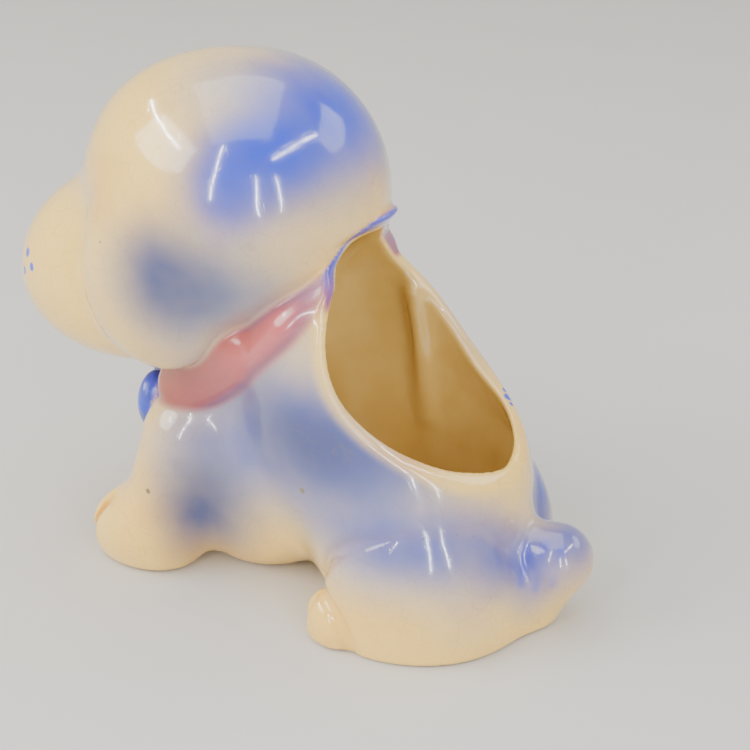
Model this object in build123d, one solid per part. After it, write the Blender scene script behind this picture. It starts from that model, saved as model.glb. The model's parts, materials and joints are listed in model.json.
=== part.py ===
"""Glazed ceramic puppy planter: a seated puppy with an open cavity in its back.

The puppy faces -Y, its left side is +X, and it stands on Z = 0. Lengths are in mm.
Every form is an ellipsoid given by its centre, its three radii, and the angles it is
tipped about X and turned about Z. Forms on the left side are mirrored to the right.
"""
import os

from build123d import *

os.makedirs("parts", exist_ok=True)

# Pottery thickness
WALL = 5.5
FLOOR_HEIGHT = 6.0

# Torso forms: (centre, radii, tip)
BELLY = ((0, 40.5, 34), (38, 35, 46), 0)
CHEST = ((0, -14, 36), (26, 33, 41), 0)
SHOULDERS = ((0, 22.5, 72), (39, 37, 50), -10)

# Head forms
SKULL = ((0, -14.5, 123.5), (41.5, 41.5, 41.5), 0)
BROW = ((0, -34.5, 128), (31, 30, 30), 0)
JAW = ((0, -42.5, 86), (28, 28, 20), 0)
MUZZLE = ((0, -67.5, 89.5), (26, 27, 25), 0)
EAR = ((29, -31.5, 102), (14, 22, 27), 14)
NOSE = ((0, -92.5, 93), (6.5, 4.5, 4.8), -10)

# Limbs and tail
FORELEG = ((18, -33, 30), (14.5, 15.5, 32), -14)
FRONT_PAW = ((20, -46.5, 8), (13, 19, 15), 0)
HAUNCH = ((24.5, 50, 11), (18, 29, 37), 0)
HAUNCH_TURN = 20
HIND_PAW = ((32, 30.5, 5), (10.5, 12, 11), 0)
TAIL_ROOT = ((0, 76, 8), (13, 15, 18), -20)
TAIL_TIP = ((0, 86, 22), (11, 11, 11), 0)

# Neck ribbon: a band of even thickness laid on the torso along this side-view line (Y, Z)
RIBBON_LINE = ((29.5, 119), (-2, 86.5), (-19.5, 68.5), (-33, 59.5), (-52, 54))
RIBBON_WIDTH = 15.0
RIBBON_THICKNESS = 4.0

# Bow under the chin
BOW_KNOT = ((0, -48.5, 53), (5, 5, 6), 0)
BOW_LOOP = ((10, -46, 51.5), (8, 5, 10), 0)

# Where the neck joins the head: a plane through COLLAR_CENTRE, tipped about X
COLLAR_CENTRE = (0, -2, 86.5)
COLLAR_TIP = 46

# Rim of the cavity as a side-view line (Y, Z) from the nape, down and back
RIM_LINE = (
    (27.5, 117.5),
    (22.6, 110),
    (22.0, 98),
    (24.4, 88),
    (29.0, 79),
    (36.5, 71),
    (46.0, 64.6),
    (57.0, 58.6),
    (70.0, 51.9),
    (84.0, 44.5),
)

# Larger than the model in every direction
BIG = 400


def ellipsoid(form, grow=0.0, turn=0.0):
    """The solid of one form, with every radius changed by grow."""
    centre, radii, tip = form
    grown = tuple(radius + grow for radius in radii)
    if len(set(grown)) == 1:
        return Pos(*centre) * Sphere(grown[0])
    return Pos(*centre) * Rot(tip, 0, turn) * scale(Sphere(1), by=grown)


def union(forms, grow=0.0):
    """Several forms fused into one solid."""
    whole = ellipsoid(forms[0], grow)
    for form in forms[1:]:
        whole = whole + ellipsoid(form, grow)
    return whole


def side_profile(sketch):
    """A side-view sketch in (Y, Z) carried right across the model."""
    return extrude(Plane.YZ * sketch, amount=BIG / 2, both=True)


def save(name, shape):
    """Writes one piece."""
    shape.label = name
    export_step(shape, f"parts/{name}.step")


above_ground = Pos(0, 0, BIG / 2) * Box(BIG, BIG, BIG)
above_floor = Pos(0, 0, FLOOR_HEIGHT + BIG / 2) * Box(BIG, BIG, BIG)
collar = Pos(*COLLAR_CENTRE) * Rot(COLLAR_TIP, 0, 0)
head_side = collar * Pos(0, 0, BIG / 2) * Box(BIG, BIG, BIG)

# Solid outlines of the torso and head, and the hollow that runs through both
TORSO_FORMS = (BELLY, CHEST, SHOULDERS)
HEAD_FORMS = (SKULL, BROW, JAW, MUZZLE)
torso = union(TORSO_FORMS) & above_ground
head = (union(HEAD_FORMS) + torso) & head_side
torso_below_collar = torso - head_side
hollow = union(TORSO_FORMS + HEAD_FORMS, -WALL) & above_floor

# The space above the rim, open to the back of the puppy
rim_edge = Spline(*RIM_LINE)
nape_y = RIM_LINE[0][0]
rear_z = RIM_LINE[-1][1]
rim_top = Polyline(RIM_LINE[-1], (BIG / 2, rear_z), (BIG / 2, BIG / 2), (nape_y, BIG / 2), RIM_LINE[0])
above_rim = side_profile(make_face(rim_edge + rim_top))

body_shell = torso_below_collar - hollow - above_rim
head_shell = head - hollow - above_rim

# Ribbon laid round the neck
ribbon_strip = side_profile(trace(Spline(*RIBBON_LINE), RIBBON_WIDTH))
neck_ribbon = union(TORSO_FORMS, RIBBON_THICKNESS) & ribbon_strip
neck_ribbon = neck_ribbon - torso - head - above_rim

# Ears, nose and bow
ear = ellipsoid(EAR) - head - torso - neck_ribbon
nose = ellipsoid(NOSE) - head
bow_knot = ellipsoid(BOW_KNOT) - torso - neck_ribbon
bow_loop = ellipsoid(BOW_LOOP) - torso - neck_ribbon - bow_knot

# Limbs and tail, each cut flat where it stands and hollowed to sit on the torso
foreleg = (union((FORELEG, FRONT_PAW)) & above_ground) - torso - neck_ribbon - bow_loop
haunch_solid = ellipsoid(HAUNCH, turn=HAUNCH_TURN) & above_ground
haunch = haunch_solid - torso
hind_paw = (ellipsoid(HIND_PAW) & above_ground) - torso - haunch_solid
haunch_mirrored = mirror(haunch_solid, Plane.YZ)
tail = (union((TAIL_ROOT, TAIL_TIP)) & above_ground) - torso - haunch_solid - haunch_mirrored

save("body_shell", body_shell)
save("head_shell", head_shell)
save("neck_ribbon", neck_ribbon)
save("nose", nose)
save("bow_knot", bow_knot)
save("tail", tail)
for name, shape in (
    ("ear", ear),
    ("bow_loop", bow_loop),
    ("foreleg", foreleg),
    ("haunch", haunch),
    ("hind_paw", hind_paw),
):
    save(f"left_{name}", shape)
    save(f"right_{name}", mirror(shape, Plane.YZ))
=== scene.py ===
"""Looks of the glazed ceramic puppy planter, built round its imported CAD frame.

The pottery is sculpted as one smooth distance field in millimetres, negative inside the
clay. It is then cut into one closed mesh per CAD node. Neighbours share the very same
points and normals where they meet, so the glaze runs across them without a seam.
The puppy faces -Y, its left side is +X, and it stands on Z = 0.
"""
import json
import math

import bpy
import numpy as np
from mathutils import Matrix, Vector


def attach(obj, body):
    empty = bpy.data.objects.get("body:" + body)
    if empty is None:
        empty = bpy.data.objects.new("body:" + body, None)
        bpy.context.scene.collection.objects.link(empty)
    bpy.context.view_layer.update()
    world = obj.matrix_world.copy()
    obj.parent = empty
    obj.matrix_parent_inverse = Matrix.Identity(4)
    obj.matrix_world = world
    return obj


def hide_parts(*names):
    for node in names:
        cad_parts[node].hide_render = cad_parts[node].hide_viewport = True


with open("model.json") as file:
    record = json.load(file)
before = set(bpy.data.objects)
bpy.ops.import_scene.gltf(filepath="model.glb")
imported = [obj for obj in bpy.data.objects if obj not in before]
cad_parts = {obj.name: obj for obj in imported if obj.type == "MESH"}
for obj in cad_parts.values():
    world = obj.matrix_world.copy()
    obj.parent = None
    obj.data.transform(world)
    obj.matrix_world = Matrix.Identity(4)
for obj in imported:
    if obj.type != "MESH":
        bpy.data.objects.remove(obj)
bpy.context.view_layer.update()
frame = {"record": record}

# Metres in a millimetre, and the spacing of the samples in mm
MM = 0.001
CELL = 0.9

# Pottery thickness, mm
WALL = 5.5
FLOOR_HEIGHT = 6.0

# ---- distance fields -------------------------------------------------------------------


def length(vectors):
    """Length of each vector."""
    return np.sqrt((vectors * vectors).sum(axis=-1))


def smooth_rise(value, start, end):
    """0 before start, 1 after end, and a smooth rise between them."""
    t = np.clip((value - start) / (end - start), 0, 1)
    return t * t * (3 - 2 * t)


def near(distance, full, gone):
    """1 within full of a surface, and 0 from gone outward."""
    return 1 - smooth_rise(distance, full, gone)


def rotation(tip, turn):
    """Rotation matrix for a tip about X followed by a turn about Z, in degrees."""
    a, b = math.radians(tip), math.radians(turn)
    about_x = np.array([[1, 0, 0], [0, math.cos(a), -math.sin(a)], [0, math.sin(a), math.cos(a)]])
    about_z = np.array([[math.cos(b), -math.sin(b), 0], [math.sin(b), math.cos(b), 0], [0, 0, 1]])
    return (about_z @ about_x).astype(np.float32)


def ellipsoid(points, centre, radii, tip=0, turn=0):
    """Distance to an ellipsoid tipped about X and turned about Z."""
    local = points - np.float32(centre)
    if tip or turn:
        local = local @ rotation(tip, turn)
    radii = np.float32(radii)
    reach = length(local / radii)
    slope = length(local / (radii * radii)) + 1e-9
    return reach * (reach - 1) / slope


def rod(points, start, end, start_radius, end_radius):
    """Distance to a round-ended rod that tapers evenly."""
    start, end = np.float32(start), np.float32(end)
    axis = end - start
    along = np.clip(((points - start) @ axis) / (axis @ axis), 0, 1)
    radius = start_radius + (end_radius - start_radius) * along
    return length(points - start - along[..., None] * axis) - radius


def join(a, b, soft):
    """Union of two fields, with a hollow fillet about as wide as soft."""
    mix = np.clip(0.5 + 0.5 * (b - a) / soft, 0, 1)
    return b * (1 - mix) + a * mix - soft * mix * (1 - mix)


def common(a, b, soft):
    """Where both fields are solid, with the edge rounded over about as wide as soft."""
    return -join(-a, -b, soft)


def mirrored(points):
    """Points with X folded onto the left side."""
    folded = points.copy()
    folded[..., 0] = np.abs(folded[..., 0])
    return folded


# ---- the puppy -------------------------------------------------------------------------

# Rounded forms, mm: centre, radii, then the degrees that tip and turn them
SKULL = (0, -14.5, 123.5), (41.5, 41.5, 41.5)
BROW = (0, -34.5, 128), (31, 30, 30)
JAW = (0, -42.5, 86), (28, 28, 20)
MUZZLE = (0, -67.5, 89.5), (26, 27, 25)
EAR = (29, -31.5, 102), (14, 22, 27), 14
NOSE = (0, -92.5, 93), (6.5, 4.5, 4.8), -10
BELLY = (0, 40.5, 34), (38, 35, 46)
CHEST = (0, -14, 36), (26, 33, 41)
SHOULDERS = (-2.6, 22.5, 72), (38.8, 37, 50), -10
FRONT_PAW = (20, -46.5, 8), (13, 19, 15)
HAUNCH = (24.5, 51, 12), (18, 28, 36), 0, 20
HIND_PAW = (34.0, 31.5, 5), (10, 12.5, 12.5)
TAIL_ROOT = (0, 66, 4), (20, 18, 20)
BOW_KNOT = (0, -48.5, 53), (5, 5, 6)
BOW_LOOP = (10, -46, 51.5), (8, 5, 10)

# Rod forms, mm: start, end, and the radius at each
NOSE_BRIDGE = (0, -46, 114), (0, -64, 100), 20, 19
FORELEG = (17, -29.5, 46), (19, -40.5, 16), 15, 13
TAIL_TIP = (0, 77.5, 7), (0, 86, 22), 10.5, 11
RIBBON_FOLD = (20.5, -9, 83), (17, -31, 64.5), 10.2, 7.6
LEG_HOLLOW = (36, -18, 46), (30, -15, 4), 1.5, 6.5
INNER_FOLD = (-32.6, 23.5, 84), (-33.6, 29, 42), 1.4, 0.2

# Forms added to the skull, and to the belly, each with the width of its fillet, mm
HEAD_FORMS = ((BROW, 12), (JAW, 12), (MUZZLE, 18))
TORSO_FORMS = ((CHEST, 16), (SHOULDERS, 14))

# The ribbon, mm: its middle in side view (Y, Z), its width, how far it stands out, and how
# much it sags at the front. Its slope is in degrees
RIBBON_MIDDLE = (-2.0, 86.5)
RIBBON_SLOPE = 46
RIBBON_HALF_WIDTH = 8.0
RIBBON_HEIGHT = 4.6
RIBBON_HEIGHT_AT_NAPE = 1.0
RIBBON_DROP_AT_FRONT = 13.0


def neck_ribbon(points, side, torso):
    """A rounded band on the neck that runs down and forward from the nape to a full knot."""
    slope = math.radians(RIBBON_SLOPE)
    y = points[..., 1] - RIBBON_MIDDLE[0]
    z = points[..., 2] - RIBBON_MIDDLE[1]
    along = y * math.cos(slope) + z * math.sin(slope)
    across = -y * math.sin(slope) + z * math.cos(slope)
    across = across - RIBBON_DROP_AT_FRONT * (np.clip(-along - 16, 0, 45) / 40) ** 2
    nape = smooth_rise(along, 14, 32)
    bunched = 1.2 * np.exp(-(((along + 42) / 14) ** 2))
    height = RIBBON_HEIGHT + bunched - (RIBBON_HEIGHT - RIBBON_HEIGHT_AT_NAPE) * nape
    proud = np.maximum(torso + 2, 0) / (height + 2)
    beside = across / (RIBBON_HALF_WIDTH - nape)
    band = 5.0 * np.sqrt(proud**2 + beside**2 + 1e-9) - 5.0
    return join(band, rod(side, *RIBBON_FOLD), 5)


def clay_forms(points):
    """Distance to each named form, before the wall, the cavity and the rim are cut."""
    side = mirrored(points)
    head = ellipsoid(points, *SKULL)
    for form, soft in HEAD_FORMS:
        head = join(head, ellipsoid(points, *form), soft)
    head = join(head, rod(points, *NOSE_BRIDGE), 14)
    torso = ellipsoid(points, *BELLY)
    for form, soft in TORSO_FORMS:
        torso = join(torso, ellipsoid(points, *form), soft)
    return {
        "head_shell": head,
        "body_shell": torso,
        "ear": ellipsoid(side, *EAR),
        "nose": ellipsoid(points, *NOSE),
        "neck_ribbon": neck_ribbon(points, side, torso),
        "bow_knot": ellipsoid(points, *BOW_KNOT),
        "bow_loop": ellipsoid(side, *BOW_LOOP),
        "foreleg": join(rod(side, *FORELEG), ellipsoid(side, *FRONT_PAW), 10),
        "haunch": ellipsoid(side, *HAUNCH),
        "hind_paw": ellipsoid(side, *HIND_PAW),
        "tail": join(rod(points, *TAIL_TIP), ellipsoid(points, *TAIL_ROOT), 8),
    }


# The rim is made by two cuts that meet in a wide curve. One is just behind the neck, with
# its Y given at Z = 90 beside the arch in its middle. The other slopes down to the tail,
# with its Z given at Y = 70 on the centre line, its fall per mm of Y, and the factor that
# turns heights into distances
NECK_CUT_Y = 19.2
SLOPE_CUT_Z = 52.6
SLOPE_CUT_FALL = 0.53
SLOPE_CUT_FACTOR = 0.884
CUTS_MEET_SOFT = 32

# How far the neck cut leans back per mm of Z, and how far its arch and dips reach, mm
NECK_CUT_LEAN = 0.142
ARCH_REACH = 6.5
RIGHT_DIP_REACH = 6.0
NAPE_DIP_REACH = 2.5


def above_rim(points):
    """Negative in the open space above the rim, which is not quite even from side to side."""
    x, y, z = points[..., 0], points[..., 1], points[..., 2]
    left_side = np.maximum(x, 0)
    arch = ARCH_REACH * np.exp(-(((x + 6) / 14) ** 2))
    right_dip = smooth_rise(-x, 6, 22) * smooth_rise(z, 80, 98) * near(z, 104, 114)
    nape_dip = smooth_rise(z, 106, 112) * near(z, 117, 122)
    neck_cut = NECK_CUT_Y + 0.05 * x + NECK_CUT_LEAN * (z - 90) + arch + 0.03 * left_side
    behind_neck = neck_cut - RIGHT_DIP_REACH * right_dip - NAPE_DIP_REACH * nape_dip - y
    height = z - SLOPE_CUT_Z + 0.125 * x - 0.09 * left_side + SLOPE_CUT_FALL * (y - 70)
    above_slope = -height * SLOPE_CUT_FACTOR
    return common(behind_neck, above_slope, CUTS_MEET_SOFT)


# How much thinner the wall gets per mm of X on the left, and where the rim passes the tail
THINNER_LEFT = 0.07
THINNER_OVER_TAIL = 2.0


def hollow(points, forms):
    """Negative in the cavity, which runs through the torso into the head.

    The wall is thinner on the left side, and where the rim comes down over the tail.
    """
    x, y, z = points[..., 0], points[..., 1], points[..., 2]
    over_tail = smooth_rise(y, 45, 62) * smooth_rise(z, 36, 50) * near(x, 2, 18)
    wall = WALL - THINNER_LEFT * np.maximum(x, 0) - THINNER_OVER_TAIL * over_tail
    inside = join(forms["head_shell"], forms["body_shell"], 6) + wall
    return common(inside, FLOOR_HEIGHT - z, 5)


# Grooves pressed between the toes: start, end and radius, mm
TOE_GROOVES = (
    ((15.4, -56.5, 21.5), (14.8, -65.0, 3), 2.0),
    ((24.4, -55.5, 21.5), (25.4, -64.0, 3), 2.0),
    ((31.0, 21.5, 15.0), (30.6, 19.0, 1), 1.8),
    ((37.2, 22.0, 15.0), (37.6, 19.4, 1), 1.8),
)

# The mouth under the nose: the same
MOUTH_LINES = (
    ((0, -95.3, 88), (0, -91.4, 76), 1.0),
    ((0, -91.4, 76), (11, -88.4, 76.5), 1.0),
    ((11, -88.4, 76.5), (19, -86.2, 84), 0.9),
)

# Brush strokes on the tail: the same
TAIL_STROKES = (
    ((8.0, 79.1, 28.6), (14.0, 79.5, 19.4), 0.7),
    ((6.9, 84.2, 30.4), (11.5, 83.4, 17.2), 0.7),
    ((6.7, 89.4, 30.0), (10.5, 88.2, 19.7), 0.7),
)

# How deep the fine lines are pressed, and how softly cuts and edges are rounded, mm
LINE_DEPTH = 0.2
LINE_SOFT = 3.0
TOE_SOFT = 2.5
MOUTH_SOFT = 1.2
LEG_HOLLOW_SOFT = 8
INNER_FOLD_SOFT = 7
INNER_EDGE_SOFT = 1.0
RIM_SOFT = 2.5
FOOT_SOFT = 2.0

# How softly each form runs into the clay it sits on, mm
BLENDS = (
    ("ear", 9),
    ("foreleg", 9),
    ("haunch", 2.2),
    ("hind_paw", 2),
    ("tail", 11),
    ("nose", 2),
    ("neck_ribbon", 2.2),
    ("bow_knot", 1),
    ("bow_loop", 1),
)
ADDED = tuple(name for name, _ in BLENDS)


def pressed_lines(points, forms):
    """Distance to the fine lines round each hind paw and haunch, which fade to the rear."""
    round_haunch = np.hypot(forms["haunch"], forms["body_shell"])
    round_paw = np.hypot(forms["hind_paw"], forms["haunch"])
    return np.minimum(round_haunch, round_paw) + 2 * smooth_rise(points[..., 1], 26, 66)


def pottery(points, forms=None):
    """The whole fired piece as one field."""
    forms = forms or clay_forms(points)
    side = mirrored(points)
    clay = join(forms["head_shell"], forms["body_shell"], 2)
    for name, soft in BLENDS:
        clay = join(clay, forms[name], soft)
    clay = common(clay, LINE_DEPTH - pressed_lines(points, forms), LINE_SOFT)
    for start, end, radius in TOE_GROOVES:
        clay = common(clay, -rod(side, start, end, radius, radius), TOE_SOFT)
    for start, end, radius in MOUTH_LINES:
        clay = common(clay, -rod(side, start, end, radius, radius), MOUTH_SOFT)
    clay = common(clay, -rod(side, *LEG_HOLLOW), LEG_HOLLOW_SOFT)
    clay = common(clay, -hollow(points, forms), INNER_EDGE_SOFT)
    clay = join(clay, rod(points, *INNER_FOLD), INNER_FOLD_SOFT)
    clay = common(clay, -above_rim(points), RIM_SOFT)
    return common(clay, -points[..., 2], FOOT_SOFT)


def piece_scores(points, nodes):
    """One score per CAD node and point. The clay at a point belongs to the lowest score."""
    forms = clay_forms(points)
    core = np.minimum(forms["head_shell"], forms["body_shell"])
    nearest = np.minimum.reduce([forms[name] for name in ADDED])
    core_score = core - np.maximum(nearest, 0)
    lead = forms["head_shell"] - forms["body_shell"]
    sides = {"left": -points[..., 0], "right": points[..., 0]}
    scores = []
    for node in nodes:
        word, _, form = node.partition("_")
        if node == "head_shell":
            scores.append(core_score + np.maximum(lead, 0))
        elif node == "body_shell":
            scores.append(core_score + np.maximum(-lead, 0))
        elif word in sides:
            scores.append(forms[form] - nearest + np.maximum(sides[word], 0))
        else:
            scores.append(forms[node] - nearest)
    return np.stack(scores, axis=-1)


# ---- from field to mesh ----------------------------------------------------------------


def axis_slice(array, axis, start, stop):
    """A view of array, cut along one axis."""
    cut = [slice(None)] * 3
    cut[axis] = slice(start, stop)
    return array[tuple(cut)]


def gradient(field, points, step=0.05):
    """Direction and rate in which a field grows."""
    centre = field(points)
    columns = []
    for axis in range(3):
        moved = points.copy()
        moved[..., axis] += step
        columns.append((field(moved) - centre) / step)
    return centre, np.stack(columns, axis=-1)


def settle(points, field, reach):
    """Moves points onto the surface of a field, each by no more than reach."""
    start = points.copy()
    for _ in range(4):
        value, slope = gradient(field, points)
        points = points - slope * (value / ((slope**2).sum(axis=-1) + 1e-6))[:, None]
        points = start + np.clip(points - start, -reach, reach)
    return points


def sample_grid(low, high):
    """Evenly spaced points that fill the box from low to high."""
    steps = [np.arange(a, b, CELL, dtype=np.float32) for a, b in zip(low, high)]
    return np.stack(np.meshgrid(*steps, indexing="ij"), axis=-1)


def absorb_specks(owner, turn):
    """Gives each sample that sticks out to the clay owner most common beside it.

    A sample sticks out when at most two of the six beside it have its owner. With only air
    beside it, it becomes air. Each turn, 0 or 1, treats every other sample, so that two
    neighbours never swap owners.
    """
    padded = np.pad(owner, 1)
    beside = []
    for axis in range(3):
        for start, stop in ((0, -2), (2, None)):
            moved = axis_slice(padded, axis, start, stop)
            for other in range(3):
                if other != axis:
                    moved = axis_slice(moved, other, 1, -1)
            beside.append(moved)
    beside = np.stack(beside)
    alone = np.argwhere((owner > 0) & ((beside == owner).sum(axis=0) <= 2))
    alone = tuple(alone[alone.sum(axis=1) % 2 == turn].T)
    choices = beside[(slice(None), *alone)]
    votes = (choices[:, None] == choices[None]).sum(axis=0) * (choices > 0)
    winner = np.take_along_axis(choices, votes.argmax(axis=0)[None], axis=0)[0]
    owner[alone] = winner


def owners(samples, clay, nodes):
    """Per sample: 0 in the air, else 1 more than the place of its owner in nodes."""
    owner = np.zeros(clay.shape, np.int8)
    solid = clay < 0
    owner[solid] = piece_scores(samples[solid], nodes).argmin(axis=-1) + 1
    for turn in (0, 1) * 3:
        absorb_specks(owner, turn)
    return owner


def shared_skin(samples, clay, owner, nodes):
    """Points in mm and quads between samples with different owners.

    Each cell that the border crosses gets one point, which all the pieces round it share.
    Returns the points, the quads, and the owner behind and in front of each quad.
    """
    cells = np.array(owner.shape) - 1
    sums = np.zeros((*cells, 3))
    counts = np.zeros(cells)
    meets_air = np.zeros(cells, bool)
    rings, behind, ahead = [], [], []
    for axis in range(3):
        start = np.argwhere(axis_slice(owner, axis, 0, -1) != axis_slice(owner, axis, 1, None))
        end = start.copy()
        end[:, axis] += 1
        a, b = tuple(start.T), tuple(end.T)
        owner_a, owner_b = owner[a], owner[b]
        value_a, value_b = clay[a].copy(), clay[b].copy()
        inner = np.flatnonzero((owner_a > 0) & (owner_b > 0))
        scores_a = piece_scores(samples[a][inner], nodes)
        scores_b = piece_scores(samples[b][inner], nodes)
        rows = np.arange(len(inner))
        first, second = owner_a[inner] - 1, owner_b[inner] - 1
        value_a[inner] = scores_a[rows, first] - scores_a[rows, second]
        value_b[inner] = scores_b[rows, first] - scores_b[rows, second]
        part_way = value_a / (value_a - value_b + 1e-12)
        crossing = samples[a].astype(float)
        crossing[:, axis] += np.clip(part_way, 0, 1) * CELL
        on_skin = (owner_a == 0) | (owner_b == 0)
        side_a, side_b = (axis + 1) % 3, (axis + 2) % 3
        ring = []
        for back_a, back_b in ((0, 0), (1, 0), (1, 1), (0, 1)):
            cell = start.copy()
            cell[:, side_a] -= back_a
            cell[:, side_b] -= back_b
            ring.append(cell)
            index = tuple(cell.T)
            np.add.at(sums, index, crossing)
            np.add.at(counts, index, 1)
            meets_air[index] |= on_skin
        rings.append(ring)
        behind.append(owner_a)
        ahead.append(owner_b)

    used = counts > 0
    number = np.full(cells, -1)
    number[used] = np.arange(used.sum())
    points = (sums[used] / counts[used][:, None]).astype(np.float32)
    skin = meets_air[used]
    points[skin] = settle(points[skin], pottery, CELL)
    quads = [np.stack([number[tuple(cell.T)] for cell in ring], axis=-1) for ring in rings]
    return points, np.concatenate(quads), np.concatenate(behind), np.concatenate(ahead)


# Airbrushed patches by paint: centre and radii in mm, strength. They lie on both sides
AIRBRUSH = {
    "haze": (
        ((18, 10, 146), (32, 38, 30), 0.8),
        ((14, -10, 161), (22, 26, 14), 0.55),
        ((38, -8, 106), (22, 38, 28), 0.9),
        ((34, 24, 60), (26, 66, 38), 0.95),
        ((28, -14, 46), (22, 26, 36), 0.8),
        ((34, 46, 34), (24, 40, 18), 0.7),
        ((6, 80, 26), (18, 16, 20), 0.6),
        ((30, 70, 22), (18, 18, 18), 0.3),
    ),
    "lavender": (
        ((4, 12, 152), (36, 32, 24), 0.7),
        ((36, -1, 141), (18, 19, 20), 0.9),
        ((28, 8, 145), (22, 20, 17), 0.85),
        ((22, 77, 34), (14, 12, 16), 1.0),
        ((36, 26, 66), (24, 40, 25), 1.0),
        ((33, -4, 56), (18, 30, 24), 0.85),
        ((36, 48, 39), (20, 42, 13), 0.8),
        ((10, 78, 22), (12, 14, 17), 0.9),
        ((2, 91, 30), (16, 14, 14), 1.0),
        ((24, 68, 42), (18, 16, 20), 0.35),
    ),
    "dusk": (
        ((42, -20, 110), (19, 20, 20), 1.0),
        ((38, -4, 106), (18, 26, 18), 0.4),
        ((27, -20, 25), (16, 19, 28), 0.95),
        ((34, 20, 64), (18, 36, 20), 0.85),
    ),
    "cobalt": (
        ((2, 15, 153), (30, 24, 20), 0.95),
        ((28, 9, 147), (18, 16, 14), 0.85),
        ((36, 0, 140), (14, 13, 17), 0.65),
        ((8, 82, 24), (8, 9, 10), 0.4),
    ),
}


def airbrushed(points, patches):
    """How much of one paint lies at each point, from 0 to 1."""
    side = mirrored(points)
    bare = np.ones(len(points))
    for centre, radii, strength in patches:
        reach = length((side - np.float32(centre)) / np.float32(radii))
        bare *= 1 - strength * near(reach, 0.05, 1.3)
    return 1 - bare


def surface_marks(points):
    """Where paint, painted shade and bare clay lie, from 0 to 1 at each point."""
    forms = clay_forms(points)
    from_hollow = hollow(points, forms)
    # Inside the hollow the glaze is a darker ochre: partly the interior glaze colour, partly
    # painted shade of the cavity
    inside = near(from_hollow, 0.1, 1.1)
    past_inner_edge = smooth_rise(from_hollow, 0.9, 2.2)
    under_ear = np.hypot(forms["ear"], forms["head_shell"])
    over_ribbon = np.hypot(forms["neck_ribbon"], forms["head_shell"])
    creases = np.minimum.reduce([pressed_lines(points, forms), under_ear, over_ribbon])
    # The creases round the haunches and hind paws, under the ear and above the ribbon darken with
    # pooled glaze and painted shade
    crease = near(creases, 0.8, 3.6)
    ribbon = near(forms["neck_ribbon"], -0.3, 1.2) * past_inner_edge
    nape = smooth_rise(points[:, 2], 102, 116) * smooth_rise(points[:, 0], -16, -9) * ribbon
    loops = np.minimum(forms["bow_loop"], forms["bow_knot"])
    side = mirrored(points)
    mouth = np.minimum.reduce([rod(side, a, b, radius, radius) for a, b, radius in MOUTH_LINES])
    strokes = np.minimum.reduce([rod(side, a, b, radius, 0) for a, b, radius in TAIL_STROKES])
    # The sprayed paints thin out along the rim, except at the nape
    thinning = 0.8 * near(above_rim(points), 1.0, 4.5) * near(points[:, 2], 108, 120)
    marks = {
        name: airbrushed(points, patches) * (1 - thinning)
        for name, patches in AIRBRUSH.items()
    }
    marks.update({
        "inside": inside,
        "crease": crease * past_inner_edge,
        "ribbon": ribbon,
        "rosy": smooth_rise(-points[:, 1], -12, 34),
        # Painted shadows on the ribbon: where it tucks under the head, and along its lower edge on
        # the body
        "tucked": near(forms["head_shell"], 0.3, 4.0) * ribbon,
        "hem": near(forms["body_shell"], 1.2, 5.0) * ribbon,
        "nape": nape,
        "bow": near(loops, 0.3, 1.2),
        "nose_paint": near(forms["nose"], 0.2, 0.9),
        "mouth": near(mouth, 0.2, 1.6),
        "strokes": near(strokes, 0, 1.8),
        "bare_foot": near(points[:, 2], 0.1, 1.0),
    })
    return marks


def build_piece(name, skin, shares, outward, marks):
    """One closed object for a CAD node, with the glaze's marks and exact surface normals."""
    points, quads, behind, ahead = skin
    place = shares.index(name) + 1
    mine = np.concatenate([quads[behind == place], quads[ahead == place][:, ::-1]])
    on_skin = np.concatenate([ahead[behind == place] == 0, behind[ahead == place] == 0])
    kept, corners = np.unique(mine, return_inverse=True)
    corners = corners.reshape(-1, 4)
    mesh = bpy.data.meshes.new(name)
    mesh.from_pydata(points[kept] * MM, [], corners)
    mesh.update()
    for mark, values in marks.items():
        layer = mesh.attributes.new(mark, "FLOAT", "POINT")
        layer.data.foreach_set("value", values[kept].astype(np.float32))

    flat = np.zeros(len(mesh.polygons) * 3, np.float32)
    mesh.polygons.foreach_get("normal", flat)
    flat = flat.reshape(-1, 1, 3)
    corner_normals = np.where(on_skin[:, None, None], outward[mine], flat)
    mesh.polygons.foreach_set("use_smooth", np.ones(len(mine), bool))
    mesh.normals_split_custom_set(corner_normals.reshape(-1, 3))
    piece = bpy.data.objects.new("puppy_" + name, mesh)
    bpy.context.scene.collection.objects.link(piece)
    return piece


# ---- glaze -----------------------------------------------------------------------------


def linear(red, green, blue):
    """Linear colour from 0 to 255 screen values."""
    channels = []
    for value in (red, green, blue):
        value /= 255
        channels.append(value / 12.92 if value <= 0.04045 else ((value + 0.055) / 1.055) ** 2.4)
    return (*channels, 1.0)


CREAM = linear(252, 210, 108)
BISQUE = linear(232, 206, 164)
WARM = linear(240, 186, 84)
HAZE = linear(146, 152, 180)
LAVENDER = linear(78, 90, 172)
COBALT = linear(42, 70, 214)
DUSK = linear(62, 70, 120)
PINK = linear(204, 84, 86)
ROSE = linear(146, 36, 38)
PLUM = linear(104, 74, 126)
OCHRE = linear(207, 166, 84)
STRAW = linear(223, 189, 108)
INK = linear(28, 30, 62)
MOSS = linear(116, 104, 60)


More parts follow.
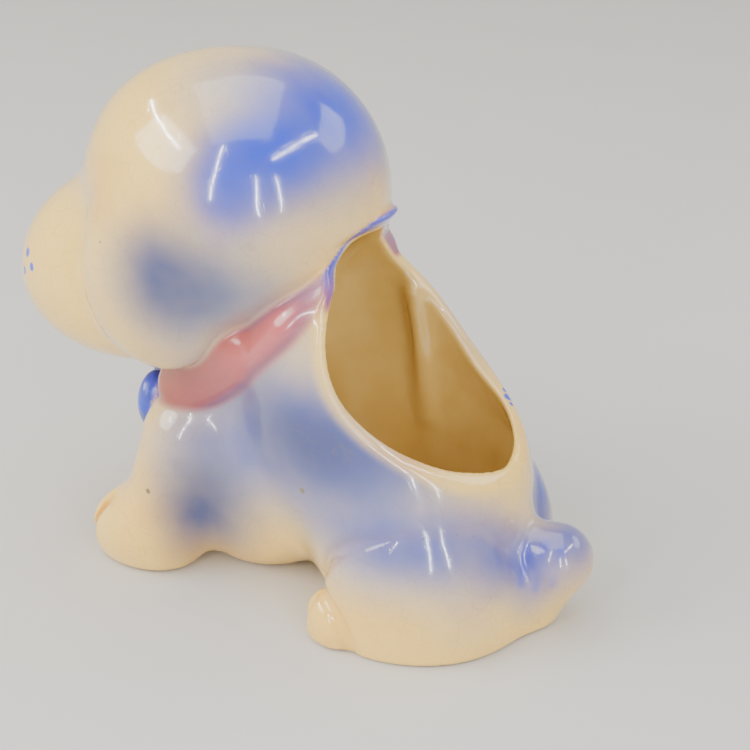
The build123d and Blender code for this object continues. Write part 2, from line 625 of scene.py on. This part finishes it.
class Glaze:
    """Builds one node material step by step.

    place is a point's own place, and folded is that place with X folded onto the left.
    """

    def __init__(self, name):
        self.material = bpy.data.materials.new(name)
        self.material.use_nodes = True
        self.nodes = self.material.node_tree.nodes
        self.links = self.material.node_tree.links
        self.shader = self.nodes["Principled BSDF"]
        self.place = self.add("ShaderNodeTexCoord").outputs["Object"]
        axes = self.add("ShaderNodeSeparateXYZ", {0: self.place}).outputs
        left = self.math("ABSOLUTE", axes["X"])
        self.folded = self.add(
            "ShaderNodeCombineXYZ", {0: left, 1: axes["Y"], 2: axes["Z"]}
        ).outputs[0]

    def add(self, kind, inputs=(), **settings):
        node = self.nodes.new(kind)
        for key, value in settings.items():
            setattr(node, key, value)
        for key, value in dict(inputs).items():
            if isinstance(value, bpy.types.NodeSocket):
                self.links.new(value, node.inputs[key])
            else:
                node.inputs[key].default_value = value
        return node

    def math(self, operation, a, b=0.0, c=0.0, clamp=False):
        node = self.add("ShaderNodeMath", {0: a, 1: b, 2: c}, operation=operation, use_clamp=clamp)
        return node.outputs[0]

    def noise(self, scale, detail=2.0, roughness=0.5, distortion=0.0):
        node = self.add(
            "ShaderNodeTexNoise",
            {"Vector": self.place, "Scale": scale, "Detail": detail,
             "Roughness": roughness, "Distortion": distortion},
        )
        return node.outputs["Fac"]

    def rise(self, value, start, end):
        """0 before start, 1 after end, and a smooth rise between them."""
        node = self.add(
            "ShaderNodeMapRange",
            {"Value": value, "From Min": start, "From Max": end},
            interpolation_type="SMOOTHSTEP",
        )
        return node.outputs["Result"]

    def mark(self, name):
        """One of the marks that surface_marks lays on the pieces."""
        return self.add("ShaderNodeAttribute", attribute_name=name).outputs["Fac"]

    def mix(self, amount, under, over):
        """The colour over laid on the colour under."""
        node = self.add("ShaderNodeMix", data_type="RGBA")
        for key, value in ((0, amount), (6, under), (7, over)):
            if isinstance(value, bpy.types.NodeSocket):
                self.links.new(value, node.inputs[key])
            else:
                node.inputs[key].default_value = value
        return node.outputs[2]

    def dot(self, place, centre, radius, ragged):
        """A small round mark with a slightly ragged edge, in mm."""
        apart = self.add(
            "ShaderNodeVectorMath",
            {0: place, 1: tuple(value * MM for value in centre)},
            operation="DISTANCE",
        )
        reach = self.math("MULTIPLY_ADD", apart.outputs["Value"], 1 / (radius * MM), ragged)
        return self.rise(reach, 1.1, 0.6)


# Small marks, painted or fired in: centre, radius in mm, colour
PAIRED_DOTS = (
    ((5.6, -85.8, 109.6), 2.5, INK),
    ((20.0, -82.7, 99.0), 1.9, COBALT),
    ((23.0, -79.5, 96.0), 1.6, COBALT),
    ((20.5, -84.5, 93.0), 1.7, COBALT),
)
SINGLE_DOTS = (
    ((33.2, 18.1, 46.8), 1.2, MOSS),
    ((31.8, -37.0, 31.6), 1.0, MOSS),
    ((-22.6, 60.1, 60.1), 1.7, COBALT),
    ((-24.4, 58.2, 61.2), 1.1, COBALT),
    ((-20.9, 62.0, 59.0), 1.0, COBALT),
)

# Airbrush paints, in the order in which they were sprayed
PAINTS = (("haze", HAZE), ("lavender", LAVENDER), ("dusk", DUSK), ("cobalt", COBALT))

# Shadows on the ribbon: mark, strength, colour
RIBBON_SHADOWS = (("hem", 0.65, PLUM), ("tucked", 0.85, PLUM), ("nape", 0.8, COBALT))

# How strongly the pooled glaze and painted shade in the creases, the tail strokes and the mouth
# show
POOL_AND_SHADE_STRENGTH = 0.45
STROKE_STRENGTH = 0.4
MOUTH_STRENGTH = 0.6

# How many features of each texture fit in a metre, and how far cracks bend, in metres
CLOUD_SCALE = 26
RIPPLE_SCALE = 55
BRUSH_SCALE = 90
SPECK_SCALE = 95
CRACK_SCALE = 210
FINE_SCALE = 420
CRACK_BEND = 0.004

GLAZE_IOR = 1.52
COAT_WEIGHT = 0.7
COAT_ROUGHNESS = 0.03


def sprayed_cream(glaze, cloudy, ragged, mist, pool_and_shade_colour):
    """Cream glaze, sprayed paints, pooled glaze and painted shade in the creases, small dots, tail
    strokes.
    """
    colour = glaze.mix(glaze.rise(cloudy, 0.42, 0.8), CREAM, WARM)
    for mark, paint in PAINTS:
        amount = glaze.math("MULTIPLY", glaze.mark(mark), mist, clamp=True)
        colour = glaze.mix(amount, colour, paint)
    # Pooled glaze and painted shade in the creases: the given crease colour under the sprayed
    # haze, warm cream elsewhere
    pool_and_shade = glaze.math("MULTIPLY", glaze.mark("crease"), POOL_AND_SHADE_STRENGTH)
    colour = glaze.mix(pool_and_shade, colour, glaze.mix(glaze.mark("haze"), WARM, pool_and_shade_colour))
    for place, dots in ((glaze.folded, PAIRED_DOTS), (glaze.place, SINGLE_DOTS)):
        for centre, radius, paint in dots:
            colour = glaze.mix(glaze.dot(place, centre, radius, ragged), colour, paint)
    stroke = glaze.math("MULTIPLY", glaze.mark("strokes"), mist, clamp=True)
    return glaze.mix(glaze.math("MULTIPLY", stroke, STROKE_STRENGTH), colour, COBALT)


def painted_details(glaze, colour, brush):
    """Pink ribbon with its blue shadows, blue bow, dark nose and mouth."""
    streaks = glaze.math("MULTIPLY_ADD", brush, 0.5, -0.25)
    redness = glaze.math("ADD", glaze.mark("rosy"), streaks, clamp=True)
    pink = glaze.mix(redness, PINK, ROSE)
    for mark, strength, paint in RIBBON_SHADOWS:
        pink = glaze.mix(glaze.math("MULTIPLY", glaze.mark(mark), strength), pink, paint)
    colour = glaze.mix(glaze.mark("ribbon"), colour, pink)
    blue = glaze.mix(glaze.rise(brush, 0.4, 0.7), COBALT, LAVENDER)
    colour = glaze.mix(glaze.mark("bow"), colour, blue)
    colour = glaze.mix(glaze.mark("nose_paint"), colour, INK)
    mouth = glaze.math("MULTIPLY", glaze.mark("mouth"), MOUTH_STRENGTH)
    return glaze.mix(mouth, colour, DUSK)


def rare_specks(glaze):
    """Small dark specks, in some places only."""
    grains = glaze.add("ShaderNodeTexVoronoi", {"Vector": glaze.place, "Scale": SPECK_SCALE})
    speck = glaze.rise(grains.outputs["Distance"], 0.045, 0.02)
    rare = glaze.rise(glaze.noise(60, 1), 0.55, 0.6)
    return glaze.math("MULTIPLY", speck, rare)


def crazing_lines(glaze):
    """A net of fine cracks, slightly bent."""
    wander = glaze.add("ShaderNodeTexNoise", {"Vector": glaze.place, "Scale": BRUSH_SCALE})
    bent = glaze.add(
        "ShaderNodeVectorMath",
        {0: wander.outputs["Color"], 1: (CRACK_BEND,) * 3, 2: glaze.place},
        operation="MULTIPLY_ADD",
    )
    cracks = glaze.add(
        "ShaderNodeTexVoronoi",
        {"Vector": bent.outputs[0], "Scale": CRACK_SCALE},
        feature="DISTANCE_TO_EDGE",
    )
    return glaze.rise(cracks.outputs["Distance"], 0.035, 0.0)


def glaze_material(name, roughness, pool_and_shade_colour):
    """Glossy pottery glaze over hand-laid colour, with pooling and painted shade in the creases,
    specks and fine crazing.

    The colour layers are the same on every piece, because the glaze runs over the joins.
    The last argument is the colour that pools in this glaze's creases, and that is also painted
    there as shade.
    """
    glaze = Glaze(name)
    cloudy = glaze.noise(CLOUD_SCALE, 3, 0.6)
    fine = glaze.noise(FINE_SCALE, 4, 0.7)
    brush = glaze.noise(BRUSH_SCALE, 3, 0.6, 0.4)
    ragged = glaze.math("MULTIPLY_ADD", brush, 0.6, -0.3)
    mist = glaze.math("MULTIPLY_ADD", cloudy, 0.9, 0.55)

    colour = sprayed_cream(glaze, cloudy, ragged, mist, pool_and_shade_colour)
    colour = painted_details(glaze, colour, brush)
    # Inside the hollow a darker ochre, partly the interior glaze and partly painted shade of the
    # cavity
    inner = glaze.mix(glaze.rise(cloudy, 0.3, 0.75), OCHRE, STRAW)
    colour = glaze.mix(glaze.mark("inside"), colour, inner)
    colour = glaze.mix(rare_specks(glaze), colour, MOSS)
    crazing = crazing_lines(glaze)
    stained = glaze.math("MULTIPLY_ADD", glaze.mark("inside"), -0.10, 0.14)
    colour = glaze.mix(glaze.math("MULTIPLY", crazing, stained), colour, MOSS)
    bare = glaze.mark("bare_foot")
    colour = glaze.mix(bare, colour, BISQUE)
    glaze.links.new(colour, glaze.shader.inputs["Base Color"])

    # The bare clay of the foot is dull and has no clear coat
    polish = glaze.math("MULTIPLY_ADD", fine, 0.08, roughness)
    dull = glaze.math("MULTIPLY_ADD", bare, 0.6, polish, clamp=True)
    glaze.links.new(dull, glaze.shader.inputs["Roughness"])
    glaze.shader.inputs["IOR"].default_value = GLAZE_IOR
    coat = glaze.math("MULTIPLY_ADD", bare, -COAT_WEIGHT, COAT_WEIGHT, clamp=True)
    glaze.links.new(coat, glaze.shader.inputs["Coat Weight"])
    glaze.shader.inputs["Coat Roughness"].default_value = COAT_ROUGHNESS

    # Slow ripples, a fine grain and the sunken crazing
    ripple = glaze.noise(RIPPLE_SCALE, 2, 0.5)
    height = glaze.math("MULTIPLY_ADD", fine, 0.05, ripple)
    height = glaze.math("MULTIPLY_ADD", crazing, -0.03, height)
    bump = glaze.add("ShaderNodeBump", {"Height": height, "Strength": 0.3, "Distance": 0.0006})
    glaze.links.new(bump.outputs["Normal"], glaze.shader.inputs["Normal"])
    glaze.links.new(bump.outputs["Normal"], glaze.shader.inputs["Coat Normal"])
    return glaze.material


MATERIALS = {
    "blue_cream_glaze": glaze_material("blue_cream_glaze", 0.10, LAVENDER),
    "cream_glaze": glaze_material("cream_glaze", 0.12, WARM),
    "pink_glaze": glaze_material("pink_glaze", 0.14, ROSE),
    "blue_glaze": glaze_material("blue_glaze", 0.14, COBALT),
}
SLOTS = {part["node"]: part["material_slot"] for part in frame["record"]["subparts"]}

# ---- pieces ----------------------------------------------------------------------------

# Corners of a box that holds the whole puppy, mm
GRID_LOW = (-48.0, -102.0, -4.3)
GRID_HIGH = (48.0, 102.0, 170.0)

nodes = list(SLOTS)
samples = sample_grid(GRID_LOW, GRID_HIGH)
clay = pottery(samples)
skin = shared_skin(samples, clay, owners(samples, clay, nodes), nodes)
marks = surface_marks(skin[0])
_, slope = gradient(pottery, skin[0])
outward = slope / (length(slope)[:, None] + 1e-9)
for node in nodes:
    piece = build_piece(node, skin, nodes, outward, marks)
    piece.data.materials.append(MATERIALS[SLOTS[node]])
    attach(piece, "root")
    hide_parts(node)

# ---- studio ----------------------------------------------------------------------------

# The sweep in metres: flat out to FLAT_RADIUS, curved up over CURVE_RADIUS, then upright
FLAT_RADIUS = 0.9
CURVE_RADIUS = 0.6
SWEEP_HEIGHT = 1.6
SWEEP_SIDES = 48


def stage_material(name, colour, roughness):
    """A matt paper with a faint grain."""
    surface = Glaze(name)
    grain = surface.noise(9, 4, 0.6)
    shade = surface.mix(grain, colour, tuple(value * 0.94 for value in colour[:3]) + (1,))
    surface.links.new(shade, surface.shader.inputs["Base Color"])
    surface.shader.inputs["Roughness"].default_value = roughness
    return surface.material


def backdrop():
    """A pale sweep: flat floor that curves up behind the puppy on every side."""
    profile = [(0.0, 0.0), (FLAT_RADIUS, 0.0)]
    for angle in np.linspace(0.1, 1.5, 12):
        radius = FLAT_RADIUS + CURVE_RADIUS * math.sin(angle)
        profile.append((radius, CURVE_RADIUS - CURVE_RADIUS * math.cos(angle)))
    profile.append((FLAT_RADIUS + CURVE_RADIUS, SWEEP_HEIGHT))
    points, faces = [], []
    for radius, height in profile:
        for step in range(SWEEP_SIDES):
            angle = 2 * math.pi * step / SWEEP_SIDES
            points.append((radius * math.cos(angle), radius * math.sin(angle), height))
    for row in range(len(profile) - 1):
        low, high = row * SWEEP_SIDES, (row + 1) * SWEEP_SIDES
        for step in range(SWEEP_SIDES):
            after = (step + 1) % SWEEP_SIDES
            faces.append((low + step, low + after, high + after, high + step))
    mesh = bpy.data.meshes.new("sweep")
    mesh.from_pydata(points, [], faces)
    mesh.polygons.foreach_set("use_smooth", [True] * len(faces))
    sweep = bpy.data.objects.new("sweep", mesh)
    bpy.context.scene.collection.objects.link(sweep)
    mesh.materials.append(stage_material("floor_paper", linear(206, 204, 200), 0.7))
    return sweep


def look_at(thing, target):
    """Turns a lamp or camera to face a point."""
    toward = Vector(target) - thing.location
    thing.rotation_euler = toward.to_track_quat("-Z", "Y").to_euler()


def area_light(name, place, target, size, power, colour=(1, 1, 1)):
    """A rectangular lamp that faces target. Lengths are in metres, power in watts."""
    lamp = bpy.data.lights.new(name, "AREA")
    lamp.shape = "RECTANGLE"
    lamp.size, lamp.size_y = size
    lamp.energy = power
    lamp.color = colour
    light = bpy.data.objects.new(name, lamp)
    light.location = place
    look_at(light, target)
    bpy.context.scene.collection.objects.link(light)


backdrop()

# The point that every lamp faces
CENTRE = (0, 0, 0.08)
area_light("overhead", (0.05, -0.1, 1.3), CENTRE, (1.4, 1.1), 12.0)
area_light("left_box", (0.8, -1.1, 0.85), CENTRE, (1.1, 0.9), 24.0, (1, 0.97, 0.92))
area_light("right_box", (-0.9, 1.1, 0.9), CENTRE, (1.0, 0.8), 8.0)

# Thin strips above the left side, like the lamps of a light tent: place and size
STRIP_POWER = 3.0
STRIPS = (
    ((0.10, 0.70, 0.85), (0.80, 0.008)),
    ((0.25, -0.75, 0.75), (0.80, 0.008)),
    ((0.80, -0.05, 0.60), (0.008, 0.70)),
    ((0.90, 0.60, 0.40), (0.008, 0.60)),
    ((0.75, 0.95, 0.45), (0.008, 0.60)),
)
for number, (place, size) in enumerate(STRIPS):
    area_light(f"strip_{number}", place, CENTRE, size, STRIP_POWER)

world = bpy.data.worlds.new("studio")
bpy.context.scene.world = world
world.use_nodes = True
background = world.node_tree.nodes["Background"]
background.inputs["Color"].default_value = (1.0, 0.98, 0.95, 1)
background.inputs["Strength"].default_value = 0.32

# Camera: behind the puppy's left shoulder and above
CAMERA_AZIMUTH = 115
CAMERA_ELEVATION = 27
CAMERA_DISTANCE = 0.480
CAMERA_TARGET = Vector((0, 0.0258, 0.0708))
SENSOR_WIDTH = 36
FOCAL_IN_FRAMES = 1600 / 750

azimuth, elevation = math.radians(CAMERA_AZIMUTH), math.radians(CAMERA_ELEVATION)
direction = Vector((
    math.sin(azimuth) * math.cos(elevation),
    -math.cos(azimuth) * math.cos(elevation),
    math.sin(elevation),
))
lens = bpy.data.cameras.new("camera")
lens.sensor_width = SENSOR_WIDTH
lens.lens = SENSOR_WIDTH * FOCAL_IN_FRAMES
camera = bpy.data.objects.new("camera", lens)
camera.location = CAMERA_TARGET + direction * CAMERA_DISTANCE
look_at(camera, CAMERA_TARGET)
bpy.context.scene.collection.objects.link(camera)
bpy.context.scene.camera = camera
